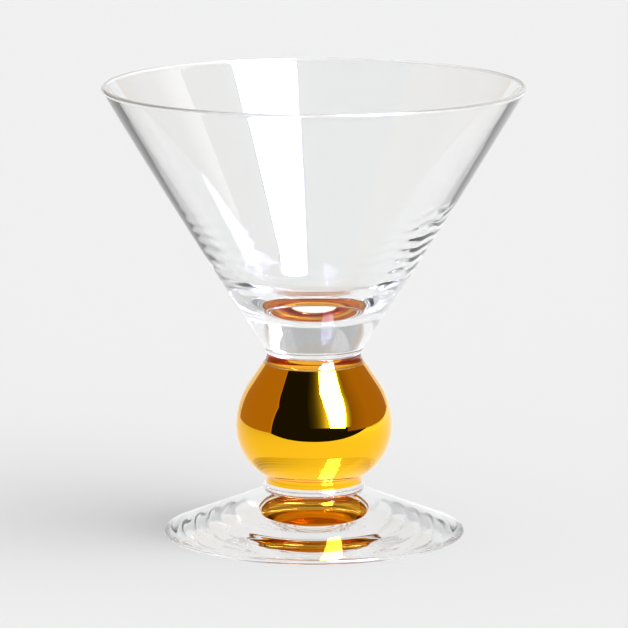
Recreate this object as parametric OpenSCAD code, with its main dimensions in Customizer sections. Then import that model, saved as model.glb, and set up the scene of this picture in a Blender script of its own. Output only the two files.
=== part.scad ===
// Short-stemmed martini glass in clear crystal, with a gilded ball knop.
// Millimetres, +Z up. The origin is the centre of the plane that the foot rests on.
// Every sub-part is a body of revolution about Z, drawn as the half outline right of the axis.

/* [Overall] */
// Height from the table to the rim
total_h = 115; // [108:1:125]
// Diameter of the rim, outside
rim_d = 107; // [96:1:116]
// Diameter of the foot
foot_d = 76.4; // [68:0.2:84]
// Diameter of the ball knop over the gold
ball_d = 39.7; // [38.4:0.1:40.6]

/* [Bowl] */
// Height of the underside of the bowl, where the upper collar ends
bowl_z = 48; // [47.6:0.1:49]
// Radius of the bowl where it meets the upper collar
bowl_base_r = 12.4; // [11.8:0.1:13]
// How far the bowl's side swells outwards past a straight cone
side_swell = 0.55; // [0:0.05:1.2]
// Wall thickness at the rim
rim_wall = 1.3; // [0.9:0.1:2]
// Thickness of the solid glass under the cavity
floor_t = 10.2; // [9.6:0.2:13]
// Radius of the small flat at the bottom of the cavity
floor_r = 1; // [0.5:0.5:2.5]
// Radius of the cavity's rounded bottom
floor_curve = 26; // [20:1:28]

/* [Knop] */
// Height of the ball's widest circle
ball_z = 27.8; // [27.5:0.1:28.2]
// Radius of the ball's flatter lower curve
low_curve = 14.6; // [14:0.1:15]
// How far the ball turns upwards from its widest circle before it runs straight to the neck, degrees
shoulder_turn = 34.5; // [33:0.5:37]
// Radius of the clear neck above the ball
top_neck_r = 11.95; // [11.6:0.05:12.2]
// Radius of the hollow curve between the ball's shoulder and the neck above it
top_cove = 3; // [1:0.5:4]
// Radius of the neck below the ball, over the gold
low_neck_r = 12.3; // [11.9:0.1:12.4]
// Radius of the hollow curve between the ball and the neck below it
low_cove = 2; // [0.8:0.2:2.4]
// Thickness of the gold; the fired film is thinner than a micrometre, and this stands in for it
gold_t = 0.15; // [0.1:0.05:0.3]
// Height where the gold ends, below the clear neck above the ball
gold_top_z = 44.2; // [42:0.2:46]

/* [Collars] */
// Height where the clear neck ends and the upper collar begins
top_collar_z = 46.7; // [46.4:0.1:47.2]
// How far the upper collar's top stands out past its foot
top_flare = 0.5; // [0.2:0.1:0.8]
// Height where the lower collar ends and the gold begins
low_collar_z = 13.4; // [13.2:0.1:13.8]
// How far the lower collar's bead stands out from the neck
low_bead = 0.6; // [0.2:0.1:0.8]

/* [Foot] */
// Height of the foot's small flat top, where the lower collar stands
foot_h = 11.3; // [11:0.1:12]
// Radius of that flat top
foot_top_r = 12.5; // [12.4:0.1:13]
// Radius of the rounded edge of the foot
edge_r = 0.55; // [0.45:0.05:0.7]
// Width of the flat ring that touches the table
ring_w = 1.6; // [1:0.2:5]
// Depth of the hollow under the foot, at the middle
dish = 4.5; // [0.5:0.5:5.5]

/* [Hidden] */
$fn = 96;
CRYSTAL = [0.88, 0.91, 0.92, 0.45];
GOLD = [0.93, 0.6, 0.06];
ARC_STEPS = 14;
// Small step where the bowl's side rises from the collar.
heel = 0.4;
rim_r = rim_d / 2;
foot_r = foot_d / 2;
ball_r = ball_d / 2;
ring_r = foot_r - edge_r - ring_w;
cavity_z = bowl_z + floor_t;
// Angle at which the rounded bottom of the cavity ends, from the horizontal.
curve_turn = 58.4;
cavity_side_r = floor_r + floor_curve * sin(curve_turn);
cavity_side_z = cavity_z + floor_curve * (1 - cos(curve_turn));
// Height of the middle of the rim's rounded lip.
lip_z = total_h - rim_wall / 2;

// Points on an arc about [x, z], from one angle to another.
function arc(x, z, r, from, to, steps = ARC_STEPS) =
    [for (i = [0:steps]) let (a = from + (to - from) * i / steps) [x + r * cos(a), z + r * sin(a)]];

// Radius of the bowl's outside at height z: a cone with a slight swell.
function bowl_r(z) =
    let (t = (z - bowl_z) / (lip_z - bowl_z))
    bowl_base_r + (rim_r - bowl_base_r) * t + 4 * side_swell * t * (1 - t);

// Radius of the cavity at height z, above its rounded bottom. The wall thins towards the rim.
function cavity_r(z) =
    let (t = (z - cavity_side_z) / (lip_z - cavity_side_z))
    let (gap_low = bowl_r(cavity_side_z) - cavity_side_r)
    bowl_r(z) - gap_low * (1 - t) - rim_wall * t;

// Up the outside, over the rim's half round lip, and down the cavity to the axis.
module bowl_outline() {
    steps = 12;
    outside = [for (i = [0:steps]) let (z = bowl_z + heel + (lip_z - bowl_z - heel) * i / steps)
        [bowl_r(z), z]];
    lip = arc(rim_r - rim_wall / 2, lip_z, rim_wall / 2, 0, 180, 8);
    inside = [for (i = [steps:-1:1]) let (z = cavity_side_z + (lip_z - cavity_side_z) * i / steps)
        [cavity_r(z), z]];
    curve = arc(floor_r, cavity_z + floor_curve, floor_curve, curve_turn - 90, -90);
    polygon(concat(
        [[0, bowl_z], [bowl_base_r - heel, bowl_z]],
        outside,
        [for (i = [1:7]) lip[i]],
        inside,
        curve,
        [[0, cavity_z]]
    ));
}

// A collar that starts as wide as the neck below it and rounds outwards to an upright edge.
module flared_collar_outline(z0, z1, neck_r, flare) {
    h = z1 - z0;
    sweep = 2 * atan(flare / h);
    r = h / sin(sweep);
    polygon(concat([[0, z0]], arc(neck_r + flare - r, z1, r, -sweep, 0, 8), [[0, z1]]));
}

// A collar between two necks, with a half-round bead standing out from it.
module beaded_collar_outline(z0, z1, neck_r, bead) {
    h = z1 - z0;
    sweep = 2 * atan(2 * bead / h);
    r = h / (2 * sin(sweep));
    polygon(concat(
        [[0, z0]],
        arc(neck_r + bead - r, (z0 + z1) / 2, r, -sweep, sweep, 10),
        [[0, z1]]
    ));
}

// Height of the centre of a cove that touches a vertical neck and a round body from outside.
function cove_dz(neck_r, cove, body_x, body_r) =
    sqrt(pow(body_r + cove, 2) - pow(neck_r + cove - body_x, 2));

// The knop's half outline. inset moves every curve inwards by the same distance.
module knop_outline(inset = 0) {
    low_x = ball_r - low_curve;
    shoulder_run = ball_r * cos(shoulder_turn) - top_neck_r - top_cove * (1 - cos(shoulder_turn));
    shoulder_rise = shoulder_run / tan(shoulder_turn);
    top_cove_z = ball_z + (ball_r + top_cove) * sin(shoulder_turn) + shoulder_rise;
    low_dz = cove_dz(low_neck_r, low_cove, low_x, low_curve);
    low_a = atan2(low_dz, low_neck_r + low_cove - low_x);
    polygon(concat(
        [[0, low_collar_z], [low_neck_r - inset, low_collar_z]],
        arc(low_neck_r + low_cove, ball_z - low_dz, low_cove + inset, 180, 180 - low_a, 6),
        arc(low_x, ball_z, low_curve - inset, -low_a, -low_a / ARC_STEPS, ARC_STEPS - 1),
        arc(0, ball_z, ball_r - inset, 0, shoulder_turn),
        [for (p = arc(top_neck_r + top_cove, top_cove_z, top_cove + inset, 180 + shoulder_turn, 180, 8))
            if (p[1] < top_collar_z - 0.05) p],
        [[top_neck_r - inset, top_collar_z], [0, top_collar_z]]
    ));
}

// The hollow underneath, the flat ring, the rounded edge, and the cone up to the flat top.
module foot_outline() {
    edge_x = foot_r - edge_r;
    rise = foot_h - edge_r;
    run = edge_x - foot_top_r;
    // The line from the flat top's edge that just touches the rounded edge.
    lean = atan2(rise, run) - asin(edge_r / norm([run, rise]));
    dish_r = (pow(ring_r, 2) + pow(dish, 2)) / (2 * dish);
    dish_a = asin(ring_r / dish_r);
    polygon(concat(
        arc(0, dish - dish_r, dish_r, 90, 90 - dish_a, 16),
        arc(edge_x, edge_r, edge_r, -90, 90 - lean, 8),
        [[foot_top_r, foot_h], [0, foot_h]]
    ));
}

// Everything above the gold's upper edge.
module above_gold() {
    translate([0, gold_top_z]) square([ball_r, total_h]);
}

module bowl() {
    color(CRYSTAL) rotate_extrude() bowl_outline();
}

module upper_merese() {
    color(CRYSTAL) rotate_extrude()
        flared_collar_outline(top_collar_z, bowl_z, bowl_base_r - heel, top_flare);
}

module knop() {
    color(CRYSTAL) rotate_extrude() union() {
        knop_outline(gold_t);
        intersection() {
            knop_outline(0);
            above_gold();
        }
    }
}

module gold_lustre() {
    color(GOLD) rotate_extrude() difference() {
        knop_outline(0);
        knop_outline(gold_t);
        above_gold();
    }
}

module lower_merese() {
    color(CRYSTAL) rotate_extrude()
        beaded_collar_outline(foot_h, low_collar_z, low_neck_r, low_bead);
}

module foot() {
    color(CRYSTAL) rotate_extrude() foot_outline();
}

bowl();
upper_merese();
knop();
gold_lustre();
lower_merese();
foot();
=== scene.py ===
import math

import bmesh
import bpy
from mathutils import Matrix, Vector, noise

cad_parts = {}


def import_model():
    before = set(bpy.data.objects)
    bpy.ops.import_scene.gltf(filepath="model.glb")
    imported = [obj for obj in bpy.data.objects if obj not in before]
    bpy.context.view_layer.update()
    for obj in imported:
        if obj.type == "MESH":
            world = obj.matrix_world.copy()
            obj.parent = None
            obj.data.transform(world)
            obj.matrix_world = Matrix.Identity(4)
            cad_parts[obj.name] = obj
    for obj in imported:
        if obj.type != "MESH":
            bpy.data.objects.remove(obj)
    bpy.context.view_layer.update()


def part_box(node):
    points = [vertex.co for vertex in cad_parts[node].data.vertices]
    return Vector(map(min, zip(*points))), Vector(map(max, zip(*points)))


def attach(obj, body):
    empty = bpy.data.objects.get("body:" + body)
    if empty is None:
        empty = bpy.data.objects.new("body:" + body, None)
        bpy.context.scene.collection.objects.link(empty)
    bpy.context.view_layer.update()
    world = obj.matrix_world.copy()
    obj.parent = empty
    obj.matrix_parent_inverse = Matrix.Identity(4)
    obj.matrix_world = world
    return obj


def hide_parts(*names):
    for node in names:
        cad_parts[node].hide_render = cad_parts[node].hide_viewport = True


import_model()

MM = 0.001

# ---------------------------------------------------------------- dimensions, metres
SEGMENTS = 256
FILM_T = 0.15 * MM
FILM_GAP = 0.01 * MM
JOINT_STEP = 0.4 * MM
SIDE_SWELL = 0.55 * MM
RIM_WALL = 1.3 * MM
FLOOR_T = 10.2 * MM
CAVITY_FLOOR_R = 1 * MM
CAVITY_CURVE = 26 * MM
CAVITY_TURN = math.radians(58.4)
LOW_CURVE = 14.6 * MM
BALL_Z = 27.8 * MM
SHOULDER_TURN = math.radians(34.5)
TOP_COVE = 3 * MM
LOW_COVE = 2 * MM
EDGE_R = 0.55 * MM
RING_W = 1.6 * MM
DISH = 4.5 * MM
FOOT_RIPPLE_H = 0.04 * MM
FOOT_RIPPLE_PITCH = 3.9 * MM
FOOT_SKIN = 0.5 * MM
BOWL_RIPPLE_H = 0.09 * MM
BOWL_RIPPLE_PITCH = 3.2 * MM
BOWL_RIPPLE_START = 2 * MM
BOWL_RIPPLE_REACH = 28 * MM
BOWL_SKIN = 0.6 * MM
ON_AXIS_R = 1e-7
FLOOR_R = 12
FLOOR_Z = -0.05 * MM
SHEET_Z = -0.03 * MM
PAPER_FRONT = -0.125
PAPER_HALF = 0.6
TABLE_REACH = 2

BOWL_LOW, BOWL_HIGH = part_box("bowl")
KNOP_LOW, KNOP_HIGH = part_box("knop")
GOLD_LOW, GOLD_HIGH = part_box("gold_lustre")
FOOT_LOW, FOOT_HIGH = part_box("foot")
TOP_COLLAR_LOW, TOP_COLLAR_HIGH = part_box("upper_merese")
LOW_COLLAR_LOW, LOW_COLLAR_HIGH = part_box("lower_merese")
RIM_R = (BOWL_HIGH[0] - BOWL_LOW[0]) / 2
RIM_Z = BOWL_HIGH[2]
BOWL_Z = BOWL_LOW[2]
BALL_R = (GOLD_HIGH[0] - GOLD_LOW[0]) / 2
BALL_TOP = KNOP_HIGH[2]
BALL_BASE = KNOP_LOW[2]
GOLD_TOP = GOLD_HIGH[2]
FOOT_R = (FOOT_HIGH[0] - FOOT_LOW[0]) / 2
FOOT_TOP = FOOT_HIGH[2]
RING_R = FOOT_R - EDGE_R - RING_W
TOP_FLARE_R = (TOP_COLLAR_HIGH[0] - TOP_COLLAR_LOW[0]) / 2
LOW_BEAD_R = (LOW_COLLAR_HIGH[0] - LOW_COLLAR_LOW[0]) / 2
BOWL_BASE_R = 12.4 * MM
FOOT_TOP_R = 12.5 * MM
TOP_NECK_R = 11.95 * MM
LOW_NECK_R = 12.3 * MM


# ---------------------------------------------------------------- outlines
def arc(x, z, r, start, end, steps):
    """Points on an arc about (x, z), angles in radians."""
    turn = (end - start) / steps
    return [(x + r * math.cos(start + turn * i), z + r * math.sin(start + turn * i))
            for i in range(steps + 1)]


def line(a, b, steps):
    """Points from a towards b, b left out."""
    return [(a[0] + (b[0] - a[0]) * i / steps, a[1] + (b[1] - a[1]) * i / steps)
            for i in range(steps)]


LIP_Z = RIM_Z - RIM_WALL / 2
CAVITY_Z = BOWL_Z + FLOOR_T
SIDE_R = CAVITY_FLOOR_R + CAVITY_CURVE * math.sin(CAVITY_TURN)
SIDE_Z = CAVITY_Z + CAVITY_CURVE * (1 - math.cos(CAVITY_TURN))


def bowl_r(z):
    """Radius of the bowl's outside: a cone with a slight swell."""
    t = (z - BOWL_Z) / (LIP_Z - BOWL_Z)
    return BOWL_BASE_R + (RIM_R - BOWL_BASE_R) * t + 4 * SIDE_SWELL * t * (1 - t)


def cavity_r(z):
    """Radius of the cavity above the curve at its foot."""
    t = (z - SIDE_Z) / (LIP_Z - SIDE_Z)
    return bowl_r(z) - (bowl_r(SIDE_Z) - SIDE_R) * (1 - t) - RIM_WALL * t


def bowl_outline():
    """The joint's edge, up the outside, over the lip, down the cavity to the axis."""
    inner = BOWL_BASE_R - JOINT_STEP
    heel = 0.5 * MM
    heel_r = heel * 0.9
    heel_end = -0.3
    steps = 110
    rise = (LIP_Z - BOWL_Z - heel) / steps
    outside = [(bowl_r(BOWL_Z + heel + rise * i), BOWL_Z + heel + rise * i) for i in range(steps)]
    bottom = arc(bowl_r(BOWL_Z + heel) - heel_r, BOWL_Z + heel_r, heel_r, -math.pi / 2, heel_end, 6)
    lip = arc(RIM_R - RIM_WALL / 2, LIP_Z, RIM_WALL / 2, 0, math.pi, 16)
    drop = (LIP_Z - SIDE_Z) / steps
    inside = [(cavity_r(LIP_Z - drop * i), LIP_Z - drop * i) for i in range(1, steps)]
    curve = arc(CAVITY_FLOOR_R, CAVITY_Z + CAVITY_CURVE, CAVITY_CURVE,
                CAVITY_TURN - math.pi / 2, -math.pi / 2, 40)
    floor = line((CAVITY_FLOOR_R, CAVITY_Z), (0, CAVITY_Z), 8)[1:] + [(0, CAVITY_Z)]
    return [(inner, BOWL_Z)] + bottom + outside + lip + inside + curve + floor


def flared_collar_outline(z0, z1, neck_r, flare_r):
    """A collar's side that starts at the neck and rounds outwards to an upright edge."""
    h = z1 - z0
    sweep = 2 * math.atan((flare_r - neck_r) / h)
    r = h / math.sin(sweep)
    return arc(flare_r - r, z1, r, -sweep, 0, 24)


def beaded_collar_outline(z0, z1, neck_r, bead_r):
    """A collar's side, from its lower joint's edge to its upper one's, with a round bead."""
    h = z1 - z0
    bead = bead_r - neck_r
    sweep = 2 * math.atan(2 * bead / h)
    r = h / (2 * math.sin(sweep))
    return arc(bead_r - r, (z0 + z1) / 2, r, -sweep, sweep, 24)


def knop_outline(inset):
    """The ball's side, from its lower joint's edge to its upper one's, moved in by inset."""
    low_x = BALL_R - LOW_CURVE
    run = BALL_R * math.cos(SHOULDER_TURN) - TOP_NECK_R - TOP_COVE * (1 - math.cos(SHOULDER_TURN))
    cove_z = BALL_Z + (BALL_R + TOP_COVE) * math.sin(SHOULDER_TURN) + run / math.tan(SHOULDER_TURN)
    low_reach = LOW_NECK_R + LOW_COVE - low_x
    low_dz = math.sqrt((LOW_CURVE + LOW_COVE) ** 2 - low_reach ** 2)
    low_a = math.atan2(low_dz, low_reach)
    ball = arc(0, BALL_Z, BALL_R - inset, 0, SHOULDER_TURN, 60)[1:]
    cove = arc(TOP_NECK_R + TOP_COVE, cove_z, TOP_COVE + inset, math.pi + SHOULDER_TURN, math.pi, 24)
    return (
        [(LOW_NECK_R - inset, BALL_BASE)]
        + arc(LOW_NECK_R + LOW_COVE, BALL_Z - low_dz, LOW_COVE + inset, math.pi, math.pi - low_a, 16)
        + arc(low_x, BALL_Z, LOW_CURVE - inset, -low_a, 0, 60)[1:]
        + ball
        + line(ball[-1], cove[0], 16)[1:]
        + cove
        + [(TOP_NECK_R - inset, BALL_TOP)]
    )


def cut(outline, z, above=False):
    """The part of a rising outline below a height, or the part above it, cut at that height."""
    for n, ((r0, z0), (r1, z1)) in enumerate(zip(outline[:-1], outline[1:])):
        if z0 <= z < z1:
            edge = (r0 + (r1 - r0) * (z - z0) / (z1 - z0), z)
            return [edge] + outline[n + 1:] if above else outline[:n + 1] + [edge]


def foot_outline():
    """From the axis under the foot, along the hollow and the ring, over the edge, up to the top."""
    edge_x = FOOT_R - EDGE_R
    rise, run = FOOT_TOP - EDGE_R, edge_x - FOOT_TOP_R
    lean = math.atan2(rise, run) - math.asin(EDGE_R / math.hypot(rise, run))
    dish_r = (RING_R ** 2 + DISH ** 2) / (2 * DISH)
    dish_a = math.asin(RING_R / dish_r)
    edge = arc(edge_x, EDGE_R, EDGE_R, -math.pi / 2, math.pi / 2 - lean, 16)
    return (
        arc(0, DISH - dish_r, dish_r, math.pi / 2, math.pi / 2 - dish_a, 60)
        + line((RING_R, 0), edge[0], 8)[1:]
        + edge
        + line(edge[-1], (FOOT_TOP_R, FOOT_TOP), 120)[1:]
        + [(FOOT_TOP_R, FOOT_TOP)]
    )


# ---------------------------------------------------------------- lathe
def add_mesh(name, bm):
    """Puts a finished bmesh into the scene as an object."""
    mesh = bpy.data.meshes.new(name)
    bm.to_mesh(mesh)
    bm.free()
    obj = bpy.data.objects.new(name, mesh)
    bpy.context.scene.collection.objects.link(obj)
    return obj


def lathe(name, outline, caps=(False, False), back=None, covered=0, shift=None):
    """Turns an outline about Z. caps says which ends get a flat joint face; a point on the
    axis becomes one vertex. back is a second outline that closes the first one into a shell.
    covered is how many of the outline's first steps lie against another piece. shift(point, angle)
    is how far each point stands off the true shape."""
    bm = bmesh.new()
    rings = []
    for r, z in outline + (back or []):
        if r < ON_AXIS_R:
            rings.append([bm.verts.new((0, 0, z))])
            continue
        ring = []
        for i in range(SEGMENTS):
            a = 2 * math.pi * i / SEGMENTS
            p = Vector((r * math.cos(a), r * math.sin(a), z))
            ring.append(bm.verts.new(p + shift(p, a) if shift else p))
        rings.append(ring)
    pairs = list(zip(rings[:-1], rings[1:]))
    if back:
        pairs.append((rings[-1], rings[0]))
    for n, (low, high) in enumerate(pairs):
        for i in range(SEGMENTS):
            j = (i + 1) % SEGMENTS
            if len(low) == 1:
                face = bm.faces.new((low[0], high[j], high[i]))
            elif len(high) == 1:
                face = bm.faces.new((low[i], low[j], high[0]))
            else:
                face = bm.faces.new((low[i], low[j], high[j], high[i]))
            face.smooth = True
            if n >= len(outline) - 1 or n < covered:
                face.material_index = 1
    for wanted, ring, lower in zip(caps, (rings[0], rings[-1]), (True, False)):
        if not wanted:
            continue
        centre = bm.verts.new((0, 0, ring[0].co.z))
        for i in range(SEGMENTS):
            j = (i + 1) % SEGMENTS
            order = (centre, ring[j], ring[i]) if lower else (centre, ring[i], ring[j])
            face = bm.faces.new(order)
            face.material_index = 1
    bmesh.ops.recalc_face_normals(bm, faces=bm.faces)
    return add_mesh(name, bm)


def foot_ripple(p, a):
    """Tooling marks on the foot's upper side: rings that are deepest at its left and right."""
    r = math.hypot(p.x, p.y)
    t = (r - FOOT_TOP_R) / (FOOT_R - FOOT_TOP_R)
    cone_z = FOOT_TOP - (FOOT_TOP - 2 * EDGE_R) * t
    if not 0 < t < 1 or p.z < cone_z - FOOT_SKIN:
        return Vector((0, 0, 0))
    side = math.cos(a)
    fade = math.sin(math.pi * t) ** 0.5 * (0.05 + abs(side) ** 1.5 * (0.6 - 0.25 * side))
    bend = 0.3 * noise.noise(Vector((p.x * 25, p.y * 25, 1.7)))
    wave = math.sin(2 * math.pi * r / FOOT_RIPPLE_PITCH + bend)
    return Vector((0, 0, FOOT_RIPPLE_H * wave * fade))


def bowl_ripple(p, a):
    """Uneven waves low on the cavity's side: strongest at its right, faint at its left, and none
    in front or behind."""
    r = math.hypot(p.x, p.y)
    t = (p.z - CAVITY_Z - BOWL_RIPPLE_START) / BOWL_RIPPLE_REACH
    if not 0 < t < 1 or r > bowl_r(p.z) - BOWL_SKIN:
        return Vector((0, 0, 0))
    side = max(0, abs(math.cos(a)) - 0.15) / 0.85
    fade = math.sin(math.pi * t) ** 0.8 * side * (0.56 + 0.44 * math.cos(a))
    bend = 4 * noise.noise(Vector((p.x * 150, p.y * 150, p.z * 60)))
    wave = math.sin(2 * math.pi * p.z / BOWL_RIPPLE_PITCH + bend)
    out = Vector((p.x, p.y, 0)).normalized()
    return out * (BOWL_RIPPLE_H * wave * fade)


# ---------------------------------------------------------------- materials
def new_material(name):
    """A material, its nodes and links, and its Principled shader."""
    mat = bpy.data.materials.new(name)
    mat.use_nodes = True
    nodes = mat.node_tree.nodes
    shader = nodes.get("Principled BSDF")
    return mat, nodes, mat.node_tree.links, shader


def noise_bump(nodes, links, shader, scale, height):
    """Makes a surface slightly uneven, by noise of a given scale and height."""
    coord = nodes.new("ShaderNodeTexCoord")
    tex = nodes.new("ShaderNodeTexNoise")
    tex.inputs["Scale"].default_value = scale
    bump = nodes.new("ShaderNodeBump")
    bump.inputs["Strength"].default_value = 1.0
    bump.inputs["Distance"].default_value = height
    links.new(coord.outputs["Object"], tex.inputs["Vector"])
    links.new(tex.outputs["Fac"], bump.inputs["Height"])
    links.new(bump.outputs["Normal"], shader.inputs["Normal"])


def crystal(name, bump_scale, bump_height, clear=1.0):
    """Clear glass. Below 1, clear leaves part of the light scattered at its surface."""
    mat, nodes, links, shader = new_material(name)
    shader.inputs["Base Color"].default_value = (0.985, 0.992, 0.99, 1)
    shader.inputs["Roughness"].default_value = 0.0
    shader.inputs["IOR"].default_value = 1.53
    shader.inputs["Transmission Weight"].default_value = clear
    noise_bump(nodes, links, shader, bump_scale, bump_height)
    return mat


def see_through(name, share):
    """A surface that lets this share of the light straight through, and does nothing else."""
    mat, nodes, links, shader = new_material(name)
    clear = nodes.new("ShaderNodeBsdfTransparent")
    clear.inputs["Color"].default_value = (share, share, share, 1)
    links.new(clear.outputs["BSDF"], nodes["Material Output"].inputs["Surface"])
    nodes.remove(shader)
    return mat


def gold(name, colour, roughness, bump_height):
    """Fired gold: a mirror with a slight unevenness in its height."""
    mat, nodes, links, shader = new_material(name)
    shader.inputs["Base Color"].default_value = (*colour, 1)
    shader.inputs["Metallic"].default_value = 1.0
    shader.inputs["Roughness"].default_value = roughness
    noise_bump(nodes, links, shader, 120, bump_height)
    return mat


# ---------------------------------------------------------------- the glass
CRYSTAL_BOWL = crystal("bowl_crystal", 70, 0.01 * MM)
CRYSTAL_LIP = crystal("lip_crystal", 150, 0.01 * MM, clear=0.5)
CRYSTAL_SMALL = crystal("collar_crystal", 150, 0.02 * MM)
CRYSTAL_FOOT = crystal("foot_crystal", 110, 0.008 * MM)
# Where two pieces of hot glass were fused, there is no surface left to see.
JOINT = see_through("fused_joint", 1)
GOLD = gold("gold_lustre", (1.0, 0.53, 0.012), 0.02, 0.002 * MM)
GOLD_BACK = gold("gold_lustre_back", (0.78, 0.36, 0.03), 0.03, 0.1 * MM)

COLLAR_R = BOWL_BASE_R - JOINT_STEP
bowl = lathe("bowl_glass", bowl_outline(), (True, False), shift=bowl_ripple)
# The lip has a glass of its own, which scatters part of the light and so shows as a pale line.
for face in bowl.data.polygons:
    if face.center.z > LIP_Z:
        face.material_index = 2
upper_collar = lathe("upper_collar", flared_collar_outline(BALL_TOP, BOWL_Z, COLLAR_R, TOP_FLARE_R),
                     (True, True))
gilded = cut(knop_outline(FILM_T + FILM_GAP), GOLD_TOP)
neck = cut(knop_outline(0), GOLD_TOP + FILM_GAP, above=True)
ball = lathe("ball_core", gilded + neck, (True, True), covered=len(gilded))
film = lathe("gold_film", cut(knop_outline(0), GOLD_TOP), back=cut(knop_outline(FILM_T), GOLD_TOP)[::-1])
lower_collar = lathe("lower_collar", beaded_collar_outline(FOOT_TOP, BALL_BASE, LOW_NECK_R, LOW_BEAD_R),
                     (True, True))
foot = lathe("foot_glass", foot_outline(), (False, True), shift=foot_ripple)

PIECES = (
    (bowl, "bowl", "bowl_crystal", (CRYSTAL_BOWL, JOINT, CRYSTAL_LIP)),
    (upper_collar, "upper_merese", "collar_crystal", (CRYSTAL_SMALL, JOINT)),
    (ball, "knop", "knop_crystal", (CRYSTAL_SMALL, JOINT)),
    (film, "gold_lustre", "gold_film", (GOLD, GOLD_BACK)),
    (lower_collar, "lower_merese", "collar_crystal", (CRYSTAL_SMALL, JOINT)),
    (foot, "foot", "foot_crystal", (CRYSTAL_FOOT, JOINT)),
)
for piece, node, slot, mats in PIECES:
    for mat in mats:
        piece.data.materials.append(mat)
    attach(piece, "root")
    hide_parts(node)
    if piece is not film:
        piece.visible_diffuse = False
        piece.visible_shadow = False


# ---------------------------------------------------------------- stage
def floor():
    """Matt white paper, a hair below the foot."""
    bm = bmesh.new()
    bmesh.ops.create_circle(bm, cap_ends=True, segments=128, radius=FLOOR_R)
    obj = add_mesh("floor", bm)
    obj.location.z = FLOOR_Z
    mat, nodes, links, shader = new_material("floor_paper")
    shader.inputs["Base Color"].default_value = (0.8, 0.8, 0.8, 1)
    shader.inputs["Roughness"].default_value = 1.0
    shader.inputs["Specular IOR Level"].default_value = 0.0
    obj.data.materials.append(mat)


def emitter(name, tint):
    """A black surface that glows in one tint, by the glow value of each of its points."""
    mat, nodes, links, shader = new_material(name)
    glow = nodes.new("ShaderNodeAttribute")
    glow.attribute_name = "glow"
    shader.inputs["Base Color"].default_value = (0, 0, 0, 1)
    shader.inputs["Roughness"].default_value = 1.0
    shader.inputs["Specular IOR Level"].default_value = 0.0
    shader.inputs["Emission Color"].default_value = (*tint, 1)
    links.new(glow.outputs["Fac"], shader.inputs["Emission Strength"])
    return mat


def stage_mesh(name, bm, tint=(1, 1, 1), through=False):
    """A glowing studio surface, kept out of the picture and out of the light on the floor. It is
    seen only in reflections or, with through, only through the glass."""
    obj = add_mesh(name, bm)
    obj.data.materials.append(emitter(name, tint))
    obj.visible_camera = False
    obj.visible_diffuse = False
    obj.visible_glossy = not through
    obj.visible_transmission = through
    obj.visible_shadow = False


def towards(azimuth, elevation):
    """The direction at an azimuth to the right of the camera and an elevation, in degrees."""
    az, el = math.radians(azimuth), math.radians(elevation)
    return Vector((math.cos(el) * math.sin(az), -math.cos(el) * math.cos(az), math.sin(el)))


def sky_patch(name, reach, rows, glow, tint=(1, 1, 1), through=False):
    """A glowing sheet at one distance from the ball. rows holds its left and right edge as
    (azimuth, elevation) pairs, from the bottom up. glow(u) is its radiance across, from 0 at its
    left edge to 1 at its right."""
    steps = 20
    centre = Vector((0, 0, BALL_Z))
    bm = bmesh.new()
    layer = bm.verts.layers.float.new("glow")
    edges = [(towards(*left), towards(*right)) for left, right in rows]
    grid = []
    for (left, right), (next_left, next_right) in zip(edges[:-1], edges[1:]):
        for k in range(steps + 1):
            v = k / steps
            start, end = left.lerp(next_left, v), right.lerp(next_right, v)
            row = []
            for i in range(steps + 1):
                vert = bm.verts.new(centre + reach * start.lerp(end, i / steps).normalized())
                vert[layer] = glow(i / steps)
                row.append(vert)
            grid.append(row)
    for n, (low, high) in enumerate(zip(grid[:-1], grid[1:])):
        if (n + 1) % (steps + 1) == 0:
            continue
        for i in range(steps):
            bm.faces.new((low[i], low[i + 1], high[i + 1], high[i]))
    stage_mesh(name, bm, tint, through)


def table_sheet(name, x, y, z, glow):
    """A flat sheet from the first x to the second and from the first y to the second. glow is
    its radiance at its left side and at its right."""
    bm = bmesh.new()
    layer = bm.verts.layers.float.new("glow")
    corners = []
    for i, j in ((0, 0), (1, 0), (1, 1), (0, 1)):
        vert = bm.verts.new((x[i], y[j], z))
        vert[layer] = glow[i]
        corners.append(vert)
    bm.faces.new(corners)
    stage_mesh(name, bm)


def foot_light():
    """The paper under the foot, as the glass shows it: painted with rings of light like those
    that the foot's ripples gather there, strongest at its left. It is darker away from the stem,
    less so in front, and a little brighter on the right."""
    turns, rings = 96, 120
    fall_start, fall_width = 15 * MM, 10 * MM
    middle, fall, front_gain, right_gain, ring_depth = 1.2, 0.32, 0.14, 0.08, 0.09
    bm = bmesh.new()
    layer = bm.verts.layers.float.new("glow")
    grid = []
    for n in range(1, rings + 1):
        r = FOOT_R * n / rings
        outer = min(1, max(0, (r - fall_start) / fall_width))
        ripple = 1 - math.sin(2 * math.pi * r / FOOT_RIPPLE_PITCH)
        row = []
        for i in range(turns):
            a = 2 * math.pi * i / turns
            side = math.cos(a)
            front = max(0, -math.sin(a))
            contrast = ring_depth * abs(side) ** 1.5 * (1 - 0.5 * side) * outer
            base = middle - (fall - front_gain * front) * outer + right_gain * side
            vert = bm.verts.new((r * math.cos(a), r * math.sin(a), SHEET_Z))
            vert[layer] = base - contrast * ripple
            row.append(vert)
        grid.append(row)
    bm.faces.new(grid[0])
    for low, high in zip(grid[:-1], grid[1:]):
        for i in range(turns):
            j = (i + 1) % turns
            bm.faces.new((low[i], low[j], high[j], high[i]))
    stage_mesh("foot_light", bm, through=True)


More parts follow.
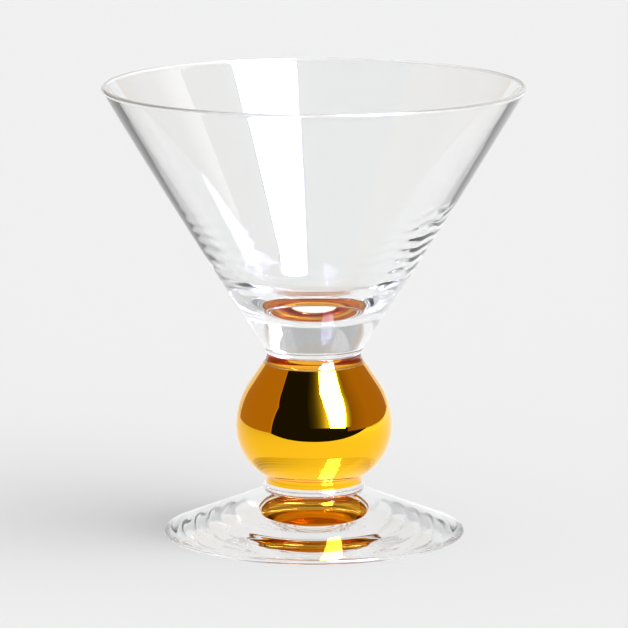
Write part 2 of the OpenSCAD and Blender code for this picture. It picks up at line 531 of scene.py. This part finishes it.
def studio():
    """What the gold and the glass reflect: a dark room on the camera's side, a tall softbox,
    two warm panels, and white paper whose front edge ends at a dark table. The surfaces made
    with through are what shows through the glass instead."""
    warm = (1, 0.55, 0.2)
    cool = (0.92, 0.95, 1.6)
    dark = 0.01
    room_reach = 1.4
    box_reach = 0.9
    halo_reach = 0.95
    left_reach = 0.32
    right_reach = 1
    for side, start, end in (("left", -94, 0), ("right", 0, 94)):
        rows = [((start, el), (end, el)) for el in (-3, 45, 89)]
        sky_patch("room_" + side, room_reach, rows, lambda u: dark)
        sky_patch("dim_room_" + side, room_reach, rows, lambda u: 0.6, through=True)
    for side, start, end in (("left", -180, -92), ("right", 92, 180)):
        rows = [((start, el), (end, el)) for el in (-3, 10, 22)]
        sky_patch("backdrop_" + side, room_reach, rows, lambda u: 0.88, through=True)
    softbox = [((24, 6), (47, 4)), ((19, 34), (54, 32)), ((14, 60), (66, 56)), ((143, 82), (128, 64))]
    halo = [((left[0] - 30, left[1]), (right[0] + 10, right[1])) for left, right in softbox[:3]]
    sky_patch("softbox", box_reach, softbox, lambda u: 50, cool)
    sky_patch("softbox_through", box_reach, softbox, lambda u: 0.55, through=True)
    sky_patch("softbox_halo", halo_reach, halo,
              lambda u: math.exp(-12 * max(0, 0.41 - u, u - 0.86)) + dark)
    sky_patch("left_panel", left_reach, [((-140, -4.9), (-64, -4.9)), ((-144, 14), (-60, 28)),
              ((-165, 30), (-76, 50)), ((-165, 50), (-123, 73))],
              lambda u: 0.43 + 0.2 * (abs(2 * u - 1) > 0.97), warm)
    sky_patch("right_panel", right_reach, [((50, -1), (145, -1)), ((56, 33), (151, 12)),
              ((70, 56), (160, 30)), ((125, 62), (170, 50))],
              lambda u: 0.2 + 0.2 * min(1, 2.5 * u), warm)
    # The paper as the gold reflects it: a glowing sheet of painted light, darker at its left where the
    # paper lies in shade and brighter at its right.
    table_sheet("paper_painted_light", (-PAPER_HALF, PAPER_HALF), (PAPER_FRONT, PAPER_HALF), SHEET_Z, (0.5, 1.5))
    foot_light()
    table_sheet("dark_table", (-TABLE_REACH, TABLE_REACH), (-TABLE_REACH, PAPER_FRONT), 0, (dark, dark))


def bowl_shade():
    """A cone in the bowl's place that takes some of the light from what is behind it: the bowl's
    soft shadow. The glass itself casts none."""
    bm = bmesh.new()
    bmesh.ops.create_cone(bm, cap_ends=False, segments=96, radius1=BOWL_BASE_R, radius2=RIM_R,
                          depth=RIM_Z - BOWL_Z)
    obj = add_mesh("bowl_shade", bm)
    obj.location.z = (RIM_Z + BOWL_Z) / 2
    obj.data.materials.append(see_through("bowl_shade", 0.62))
    obj.visible_camera = False
    obj.visible_glossy = False
    obj.visible_transmission = False


def world():
    """A pale room, darker overhead, with one large soft light high on the right."""
    w = bpy.data.worlds.new("studio")
    w.use_nodes = True
    bpy.context.scene.world = w
    nodes, links = w.node_tree.nodes, w.node_tree.links
    back = nodes["Background"]
    coord = nodes.new("ShaderNodeTexCoord")
    split = nodes.new("ShaderNodeSeparateXYZ")
    ramp = nodes.new("ShaderNodeValToRGB")
    links.new(coord.outputs["Generated"], split.inputs["Vector"])
    links.new(split.outputs["Z"], ramp.inputs["Fac"])
    links.new(ramp.outputs["Color"], back.inputs["Color"])
    pale, dim = 0.855, 0.42
    low, high = ramp.color_ramp.elements
    low.position, low.color = 0.25, (pale, pale, pale, 1)
    high.position, high.color = 0.6, (dim, dim, dim, 1)
    key = nodes.new("ShaderNodeBackground")
    facing = nodes.new("ShaderNodeVectorMath")
    facing.operation = "DOT_PRODUCT"
    facing.inputs[1].default_value = towards(69, 46)
    falloff = nodes.new("ShaderNodeMapRange")
    falloff.interpolation_type = "SMOOTHSTEP"
    falloff.inputs["From Min"].default_value = 0.72
    falloff.inputs["To Max"].default_value = 4.0
    both = nodes.new("ShaderNodeAddShader")
    links.new(coord.outputs["Generated"], facing.inputs[0])
    links.new(facing.outputs["Value"], falloff.inputs["Value"])
    links.new(falloff.outputs["Result"], key.inputs["Strength"])
    links.new(back.outputs["Background"], both.inputs[0])
    links.new(key.outputs["Background"], both.inputs[1])
    links.new(both.outputs["Shader"], nodes["World Output"].inputs["Surface"])


def camera():
    """The photo's view: in front, a little above the rim, with a long lens."""
    distance, height, aim, lens = 1.3, 0.29242, 0.05646, 298.86
    data = bpy.data.cameras.new("camera")
    data.lens = lens
    data.sensor_width = 36
    data.clip_start, data.clip_end = 0.05, 50
    obj = bpy.data.objects.new("camera", data)
    obj.location = (0, -distance, height)
    look = Vector((0, 0, aim)) - Vector(obj.location)
    obj.rotation_euler = look.to_track_quat("-Z", "Y").to_euler()
    bpy.context.scene.collection.objects.link(obj)
    bpy.context.scene.camera = obj


scene = bpy.context.scene
scene.view_settings.view_transform = "Standard"
scene.cycles.max_bounces = 32
scene.cycles.transmission_bounces = 32
scene.cycles.glossy_bounces = 16
scene.cycles.transparent_max_bounces = 32
scene.cycles.sample_clamp_indirect = 60
scene.cycles.blur_glossy = 0
scene.cycles.caustics_reflective = False
camera()
floor()
studio()
bowl_shade()
world()
